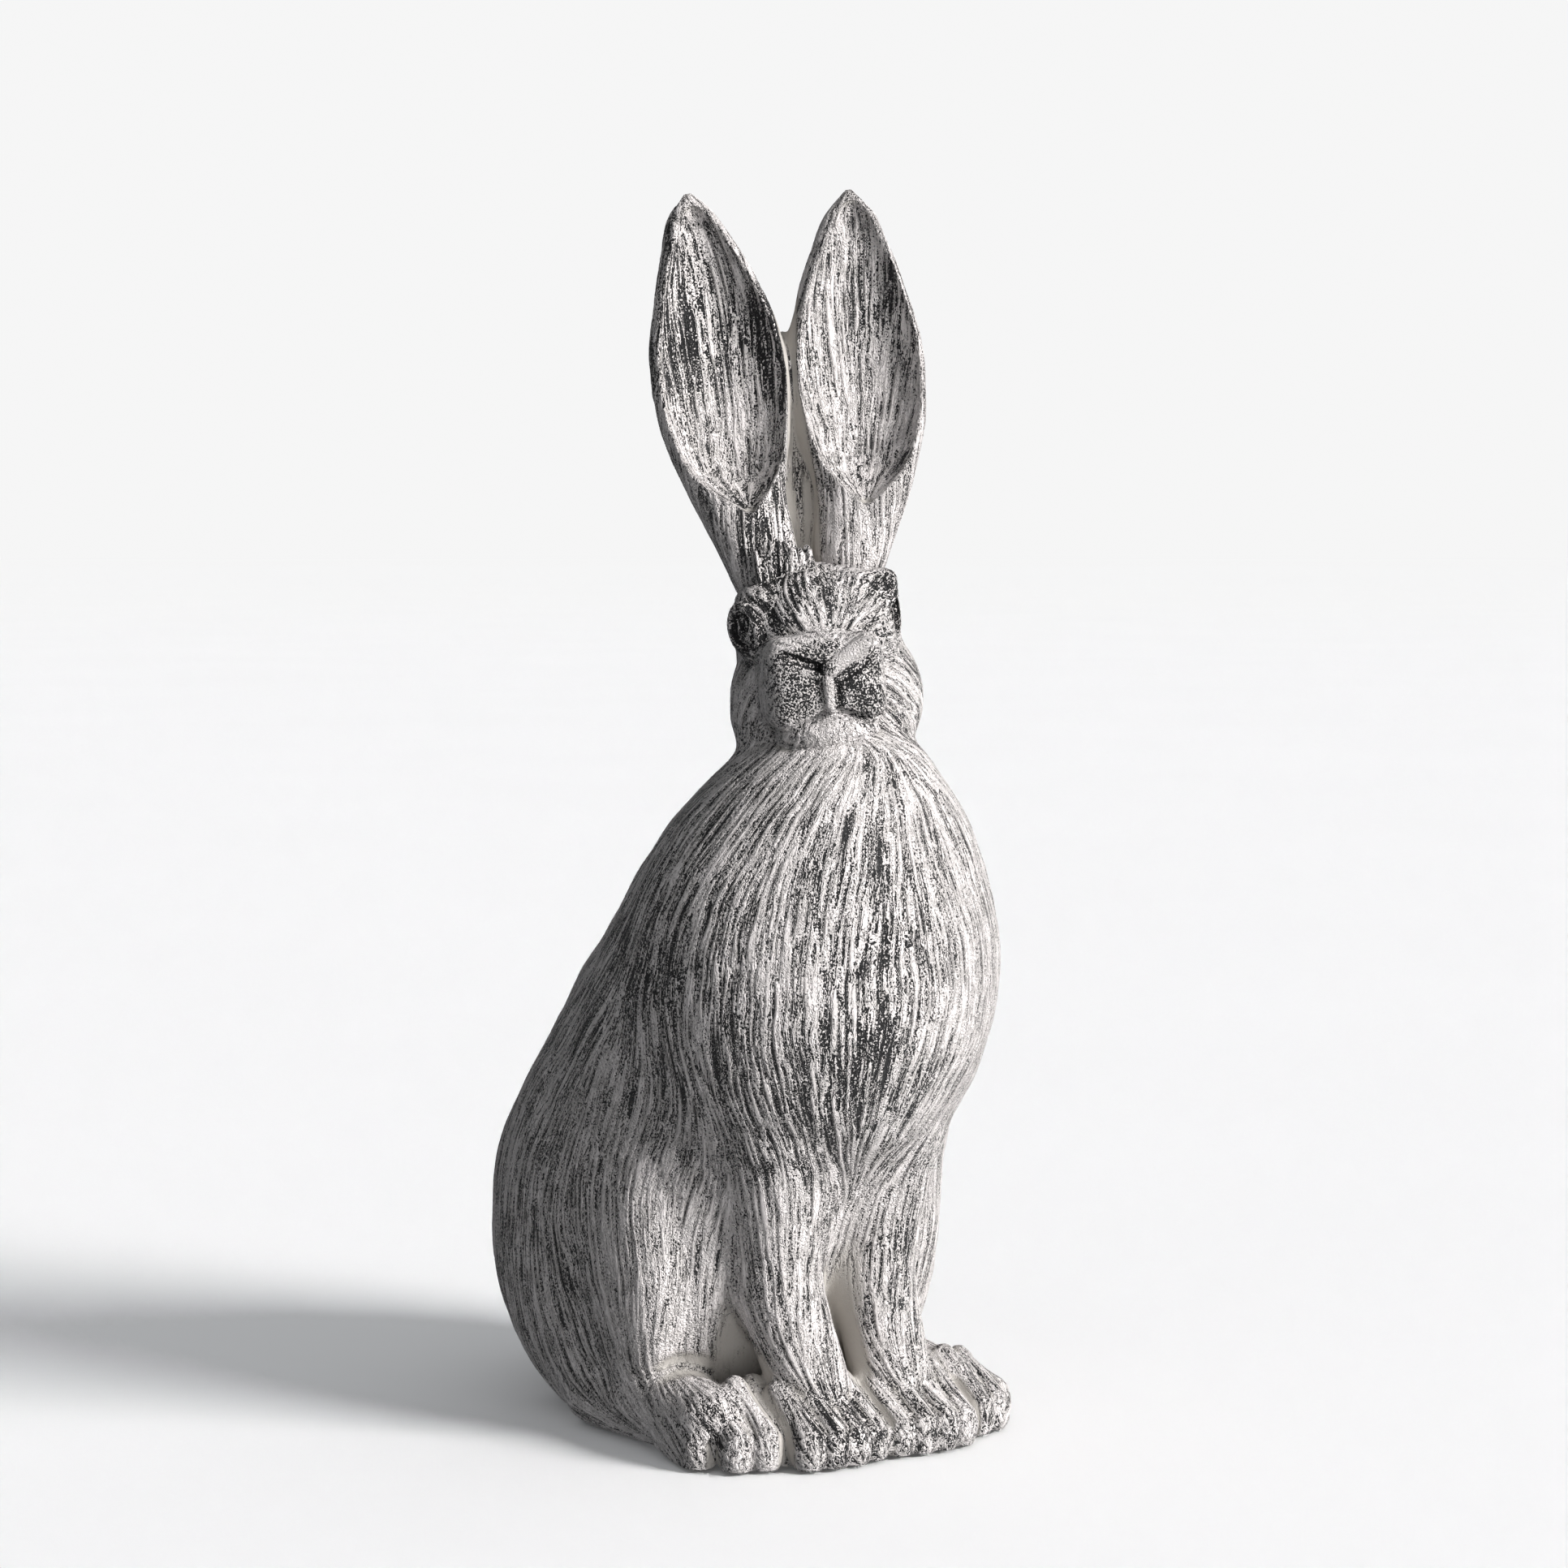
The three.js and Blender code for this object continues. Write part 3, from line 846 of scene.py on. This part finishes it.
def sculpted(name, forms, step, spots, calm_and_shaded=(), floor=None, mates=()):
    """A piece meshed from its forms and combed. The relief fades out beside its `mates`."""
    points, quads = quads_of(forms, step, floor)
    points, quads = refined(points, quads)
    points = settled(points, quads, forms, floor)
    normals = normals_of(points, quads)
    wander = np.column_stack([Random3(seed, WANDER_CELL)(points) for seed in (21, 22, 23)])
    kinds = [(STROKE, STROKE_REACH, 31), (FINE_STROKE * STROKE, FINE_REACH, 32)]
    strokes, fine = combed(points + WANDER * wander, normals, Lie(forms), kinds)
    creases = hollows(points, normals, forms, CREASE)
    features = np.clip(2 * patches(points, FEATURES), 0, 1)
    # smooth: creases and listed patches, left untooled and given the painted shade tone
    smooth = np.maximum(creases, patches(points, calm_and_shaded)) * (1 - features)
    stipple = on_muzzle(points)
    # dark: worn patches and dark face creases, and also painted shade and a painted highlight
    dark = patches(points, spots) + CREASE_DARK * creases * features
    lift = LUMPS * (Random3(41, BROAD_LUMP)(points) + 0.4 * Random3(42, SMALL_LUMP)(points))
    lift += (1 - smooth) * (1 - 0.7 * stipple) * RELIEF * np.tanh(strokes)
    if floor is not None:
        lift = lift * np.clip((points[:, 2] - floor - SOLE_EDGE) / SOLE_FADE, 0, 1)
    lift = lift * np.clip((distance(points, mates) - GAP) / ROOM, 0, 1)
    points = points + lift[:, None] * normals
    layers = {"strokes": strokes, "fine": fine, "smooth": smooth, "stipple": stipple, "dark": dark}
    return piece_from(name, points, quads, layers)


def piece_from(name, points, quads, attributes):
    mesh = bpy.data.meshes.new(name)
    placed = (points + np.array([0, SHIFT_Y, 0])) * MM
    mesh.vertices.add(len(placed))
    mesh.vertices.foreach_set("co", placed.astype(np.float32).ravel())
    mesh.loops.add(quads.size)
    mesh.loops.foreach_set("vertex_index", quads.astype(np.int32).ravel())
    mesh.polygons.add(len(quads))
    mesh.polygons.foreach_set("loop_start", np.arange(0, quads.size, 4, dtype=np.int32))
    mesh.update(calc_edges=True)
    mesh.polygons.foreach_set("use_smooth", np.ones(len(quads), bool))
    for key, values in attributes.items():
        layer = mesh.attributes.new(key, "FLOAT", "POINT")
        layer.data.foreach_set("value", np.asarray(values, np.float32))
    piece = bpy.data.objects.new(name, mesh)
    bpy.context.scene.collection.objects.link(piece)
    return piece


# ---- materials ----


class Graph:
    """Short-hand for a material's node tree."""

    def __init__(self, name):
        self.material = bpy.data.materials.new(name)
        self.material.use_nodes = True
        self.nodes = self.material.node_tree.nodes
        self.links = self.material.node_tree.links
        self.shader = self.nodes["Principled BSDF"]

    def put(self, socket, value):
        if isinstance(value, bpy.types.NodeSocket):
            self.links.new(value, socket)
        else:
            socket.default_value = value

    def node(self, kind, settings=(), **inputs):
        made = self.nodes.new(kind)
        for key, value in dict(settings).items():
            setattr(made, key, value)
        for key, value in inputs.items():
            self.put(made.inputs[key], value)
        return made

    def attribute(self, name):
        return self.node("ShaderNodeAttribute", {"attribute_name": name}).outputs["Fac"]

    def math(self, operation, a, b=0.0, c=0.0):
        made = self.node("ShaderNodeMath", {"operation": operation})
        for socket, value in zip(made.inputs, (a, b, c)):
            self.put(socket, value)
        return made.outputs[0]

    def ramp(self, value, low, high, to_low=0.0, to_high=1.0):
        settings = {"interpolation_type": "SMOOTHSTEP"}
        made = self.node("ShaderNodeMapRange", settings, Value=value)
        limits = {"From Min": low, "From Max": high, "To Min": to_low, "To Max": to_high}
        for key, number in limits.items():
            self.put(made.inputs[key], number)
        return made.outputs["Result"]

    def place(self):
        return self.node("ShaderNodeTexCoord").outputs["Object"]

    def noise(self, size, detail=2.0, roughness=0.55, stretch=None):
        """Noise whose blobs are about `size` metres across."""
        vector = self.place()
        if stretch is not None:
            mapping = self.node("ShaderNodeMapping", Vector=vector, Scale=stretch)
            vector = mapping.outputs["Vector"]
        grain = {"Scale": 1 / size, "Detail": detail, "Roughness": roughness}
        return self.node("ShaderNodeTexNoise", Vector=vector, **grain).outputs["Fac"]

    def mix(self, share, a, b):
        made = self.node("ShaderNodeMix", {"data_type": "RGBA"})
        self.put(made.inputs["Factor"], share)
        self.put(made.inputs["A"], a)
        self.put(made.inputs["B"], b)
        return made.outputs["Result"]

    def bump(self, height, depth, strength=1.0):
        made = self.node("ShaderNodeBump", Height=height, Distance=depth, Strength=strength)
        self.links.new(made.outputs["Normal"], self.shader.inputs["Normal"])


def cast_stone():
    """White wash over dark grey stone: the dark stays in the tool marks and in patches, some of which are
    painted shade, and hollows get a painted shade tone.
    """
    g = Graph("cast_stone")
    white = (0.94, 0.893, 0.882, 1)
    chalk = (0.77, 0.733, 0.718, 1)
    graphite = (0.022, 0.022, 0.023, 1)
    # painted shade: the darker tone of creases and hollows
    painted_hollow_shade = (0.50, 0.475, 0.445, 1)

    # how high the surface stands: strokes split into threads, and a crumbly grain on the muzzle
    stipple = g.attribute("stipple")
    strokes = g.attribute("strokes")
    fine = g.math("MULTIPLY", g.attribute("fine"), 1.2)
    threads = g.math("SINE", g.math("MULTIPLY_ADD", strokes, 4.6, fine))
    combed_in = g.math("MULTIPLY_ADD", threads, 0.58, g.math("MULTIPLY", strokes, 0.46))
    crumble = g.math("MULTIPLY_ADD", g.noise(0.0006, detail=2.0), 2.8, -1.4)
    height = g.math("MULTIPLY", combed_in, g.ramp(stipple, 0.0, 1.0, 1.0, 0.25))
    height = g.math("MULTIPLY_ADD", crumble, g.ramp(stipple, 0.0, 1.0, 1.0, 1.7), height)

    # the wash lies on what stands above a level, which rises where the wash is worn and where shade is
    # painted, and falls where a highlight is painted
    cloud = g.ramp(g.noise(0.020, detail=3.0), 0.42, 0.70, -0.10, 0.20)
    dark = g.math("MULTIPLY_ADD", g.attribute("dark"), 1.9, cloud)
    level = g.math("MULTIPLY_ADD", stipple, 0.70, g.math("ADD", dark, -0.55))
    painted = g.ramp(g.math("SUBTRACT", height, level), -0.14, 0.14)
    painted = g.math("MAXIMUM", painted, g.ramp(g.attribute("smooth"), 0.45, 0.9))

    # colours: two whites in patches, painted shade in untooled creases and hollows, and the dark stone
    tone = g.mix(g.ramp(g.noise(0.006, detail=4.0), 0.35, 0.65), white, chalk)
    tone = g.mix(g.ramp(g.attribute("smooth"), 0.15, 0.7), tone, painted_hollow_shade)
    g.links.new(g.mix(painted, graphite, tone), g.shader.inputs["Base Color"])
    g.links.new(g.ramp(painted, 0.0, 1.0, 0.62, 0.9), g.shader.inputs["Roughness"])
    g.shader.inputs["Specular IOR Level"].default_value = 0.3

    open_part = g.ramp(g.attribute("smooth"), 0.2, 0.8, 1.0, 0.1)
    relief = g.math("MULTIPLY", g.ramp(height, -1.4, 1.0), open_part)
    g.bump(relief, 0.0009, 1.0)
    return g.material


def plain(name, dark, light, size, roughness, depth, metal=0.0, stretch=None):
    """A lesser material: two tones mottled by noise, with a matching fine bump."""
    g = Graph(name)
    mottle = g.noise(size, detail=5.0, stretch=stretch)
    colour = g.mix(g.ramp(mottle, 0.3, 0.7), dark, light)
    g.links.new(colour, g.shader.inputs["Base Color"])
    rough = g.ramp(mottle, 0.3, 0.7, roughness - 0.08, roughness + 0.08)
    g.links.new(rough, g.shader.inputs["Roughness"])
    g.shader.inputs["Metallic"].default_value = metal
    g.bump(mottle, depth, 0.6)
    return g.material


def rod_steel():
    return plain("rod_steel", (0.36, 0.37, 0.39, 1), (0.60, 0.61, 0.63, 1), 0.002, 0.38, 0.00005,
                 metal=1.0, stretch=(1, 1, 0.08))


def plate_board():
    return plain("plate_board", (0.22, 0.19, 0.16, 1), (0.33, 0.29, 0.25, 1), 0.0015, 0.82, 0.00012)


def plug_rubber():
    return plain("plug_rubber", (0.018, 0.018, 0.018, 1), (0.04, 0.04, 0.04, 1), 0.001, 0.6, 0.00005)


def pad_felt():
    return plain("pad_felt", (0.03, 0.028, 0.026, 1), (0.075, 0.07, 0.065, 1), 0.0007, 0.95, 0.0002)


def give(piece, material):
    piece.data.materials.clear()
    piece.data.materials.append(material)


# ---- the figure's pieces ----


BODY_STEP, EAR_STEP = 1.0, 0.9    # mm, the grids that the two pieces are meshed on

# where the wash is worn down to the dark, or left whole where negative: place, radius, strength. Some
# spots are painted shade on the shaded side, and one is a painted highlight
BODY_WEAR_AND_PAINTED_SHADING = [
    (on_head((NOSE_X + 4, -37, 1.5)), 3.0, -0.6),
    (on_head((NOSE_X + 9, -37, 4.5)), 3.5, -0.6),
    (on_head((NOSE_X - 0.5, -37, -7)), (1.6, 4, 5), -0.6),
    (on_head((NOSE_X - 7, -37, -1)), 2.2, -0.4),
    (on_head((NOSE_X, -33, -21)), 9, -0.3),
    (on_head((-12, -18, 24)), 12, 0.5),
    (on_head((22, -14, 22)), 8, 0.35),
    (on_head((-24, -14, 13)), 9, 0.35),
    # these two are painted shade on the shaded right shoulder and side
    ((-25, -62, 120), 24, 0.25),
    ((-52, -30, 160), 36, 0.25),
    ((-12, -84, 150), (20, 20, 50), 0.25),
    ((38, -76, 150), (18, 24, 50), -0.15),
    # painted shade on the shaded right haunch and back
    ((-60, 40, 80), (30, 60, 60), 0.12),
    # painted highlight on the near knee
    ((-50, -20, 62), (16, 14, 40), -0.25),
    ((-12, -70, 14), 15, 0.4),
    ((22, -76, 10), 12, 0.2),
    ((-48, -52, 14), 8, 0.3),
    ((50, -66, 12), 12, 0.15),
]

EAR_WEAR = [
    (on_head((-34, 6, 112)), 22, 0.45),
    (on_head((-8, -2, 100)), 16, 0.5),
    (on_head((36, 6, 112)), 18, 0.3),
    (on_head((-14, -6, 45)), 12, 0.4),
]

# the smooth hollows behind the forelegs, where no tool reached, darkened as painted shade
UNTOOLED_AND_SHADED = [
    ((-29, -29, 55), (7, 9, 42), 1.0),
    ((6, -38, 50), (7, 14, 30), 1.0),
]


def body_piece(stone):
    mates = ear_socket(cut=False) + rod_holes(cut=False) + underside(cut=False)
    piece = sculpted("hare_body", body(), BODY_STEP, BODY_WEAR_AND_PAINTED_SHADING, UNTOOLED_AND_SHADED, SOLE, mates)
    give(piece, stone)
    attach(piece, "root")
    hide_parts("body_shell")
    return piece


def ear_piece(stone):
    mates = head() + rod_holes(cut=False)
    piece = sculpted("hare_ears", ears(), EAR_STEP, EAR_WEAR, mates=mates)
    give(piece, stone)
    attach(piece, "root")
    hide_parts("ear_pair")
    return piece


def dress_the_rest():
    steel, felt = rod_steel(), pad_felt()
    nodes = frame["nodes"]
    give(nodes["ear_rod_right"], steel)
    give(nodes["ear_rod_left"], steel)
    give(nodes["base_plate"], plate_board())
    give(nodes["vent_plug"], plug_rubber())
    for name, node in nodes.items():
        if name.startswith("pad_"):
            give(node, felt)


# ---- floor, light and camera ----

VIEW_TURN = math.radians(32)      # the camera stands this far round to the hare's right
DISTANCE = 1.15                   # m, from the figure's upright axis
EYE_LEVEL = 0.300                 # m above the floor
AIM_LEVEL = 0.2085                # m above the floor, where the lens points
OFF_AXIS = 0.0095                 # m, how far the view's middle passes to the right of the axis
LENS = 81.3                       # mm, on a 36 mm sensor

BACKDROP = 0.92                   # brightness of the plain background
FILL = 0.16                       # brightness of the light from all round
FLOOR_GLOW = 0.96                 # W/m2 on the floor only
FADE_FROM, FADE_TO = 2.5, 18.0    # m from the middle, where the floor melts into the background
FRONT = 0.9                       # W/m2 on the figure only, from low in front
REAR = 1.5                        # W/m2 on the figure only, from straight behind it
KEY = 4.6                         # W/m2 from the main light
KEY_RISE = 23                     # degrees, the main light's height over the floor
KEY_ROUND = 63                    # degrees, how far to the right of the camera it stands

to_camera = Vector((-math.sin(VIEW_TURN), -math.cos(VIEW_TURN), 0))
to_right = Vector((math.cos(VIEW_TURN), -math.sin(VIEW_TURN), 0))
axis_foot = Vector((0, SHIFT_Y * MM, 0))


def pointed(thing, at, target):
    thing.location = at
    thing.rotation_mode = "QUATERNION"
    thing.rotation_quaternion = (target - at).to_track_quat("-Z", "Y")
    bpy.context.scene.collection.objects.link(thing)


def camera():
    data = bpy.data.cameras.new("camera")
    data.lens = LENS
    data.sensor_width = 36
    seen = bpy.data.objects.new("camera", data)
    middle = axis_foot + to_right * OFF_AXIS
    at = middle + to_camera * DISTANCE + Vector((0, 0, EYE_LEVEL))
    pointed(seen, at, middle + Vector((0, 0, AIM_LEVEL)))
    bpy.context.scene.camera = seen


def sun(name, strength, colour, softness, rise, round_right):
    """A broad distant light: `rise` degrees over the floor, `round_right` degrees right of the camera."""
    data = bpy.data.lights.new(name, "SUN")
    data.energy = strength
    data.color = colour
    data.angle = math.radians(softness)
    light = bpy.data.objects.new(name, data)
    rise, turn = math.radians(rise), math.radians(round_right)
    level = to_camera * math.cos(turn) + to_right * math.sin(turn)
    way = level * math.cos(rise) + Vector((0, 0, math.sin(rise)))
    pointed(light, axis_foot + 2 * way, axis_foot)
    return light


def floor():
    bpy.ops.mesh.primitive_plane_add(size=60)
    ground = bpy.context.object
    ground.name = "floor"
    g = Graph("floor_paper")
    paper = g.mix(g.noise(0.4, detail=1.0), (0.905, 0.905, 0.905, 1), (0.925, 0.925, 0.925, 1))
    distance = g.node("ShaderNodeVectorMath", {"operation": "LENGTH"}, Vector=g.place()).outputs["Value"]
    far = g.ramp(distance, FADE_FROM, FADE_TO)
    g.links.new(g.mix(far, paper, (0, 0, 0, 1)), g.shader.inputs["Base Color"])
    g.shader.inputs["Emission Color"].default_value = (1, 1, 1, 1)
    g.links.new(g.math("MULTIPLY", far, BACKDROP), g.shader.inputs["Emission Strength"])
    g.shader.inputs["Roughness"].default_value = 0.9
    g.shader.inputs["Specular IOR Level"].default_value = 0
    give(ground, g.material)
    ground.visible_diffuse = False
    return ground


def lit_only(light, things):
    """Let only these things receive the light."""
    only = bpy.data.collections.new(light.name + "_only")
    for thing in things:
        only.objects.link(thing)
    light.light_linking.receiver_collection = only


def glow_on(ground):
    """Light from above on the floor alone, as a lit paper backdrop would look."""
    light = sun("floor_glow", FLOOR_GLOW, (0.97, 0.985, 1.0), softness=170, rise=89, round_right=0)
    lit_only(light, [ground])


def bounce_on(pieces):
    """Light that a white floor in front would throw back at the figure."""
    light = sun("front_bounce", FRONT, (1, 0.99, 0.98), softness=60, rise=2, round_right=18)
    lit_only(light, pieces)


def rear_fill_on(pieces):
    """Soft light from straight behind, which reaches only what faces away from the camera."""
    light = sun("rear_fill", REAR, (0.96, 0.98, 1.0), softness=30, rise=0, round_right=180)
    lit_only(light, pieces)


def surroundings():
    """White behind the figure, and a dim bluish fill from all round."""
    world = bpy.data.worlds.new("studio")
    world.use_nodes = True
    nodes, links = world.node_tree.nodes, world.node_tree.links
    fill = nodes["Background"]
    fill.inputs["Color"].default_value = (0.93, 0.96, 1, 1)
    fill.inputs["Strength"].default_value = FILL
    seen = nodes.new("ShaderNodeBackground")
    seen.inputs["Color"].default_value = (1, 1, 1, 1)
    seen.inputs["Strength"].default_value = BACKDROP
    path = nodes.new("ShaderNodeLightPath")
    choice = nodes.new("ShaderNodeMixShader")
    links.new(path.outputs["Is Camera Ray"], choice.inputs[0])
    links.new(fill.outputs[0], choice.inputs[1])
    links.new(seen.outputs[0], choice.inputs[2])
    links.new(choice.outputs[0], nodes["World Output"].inputs["Surface"])
    bpy.context.scene.world = world


# ---- put together ----

stone = cast_stone()
figure = [body_piece(stone), ear_piece(stone)]
dress_the_rest()
glow_on(floor())
bounce_on(figure)
rear_fill_on(figure)
surroundings()
sun("key", KEY, (1, 0.985, 0.975), softness=24, rise=KEY_RISE, round_right=KEY_ROUND)
bpy.context.scene.view_settings.view_transform = "Standard"
camera()
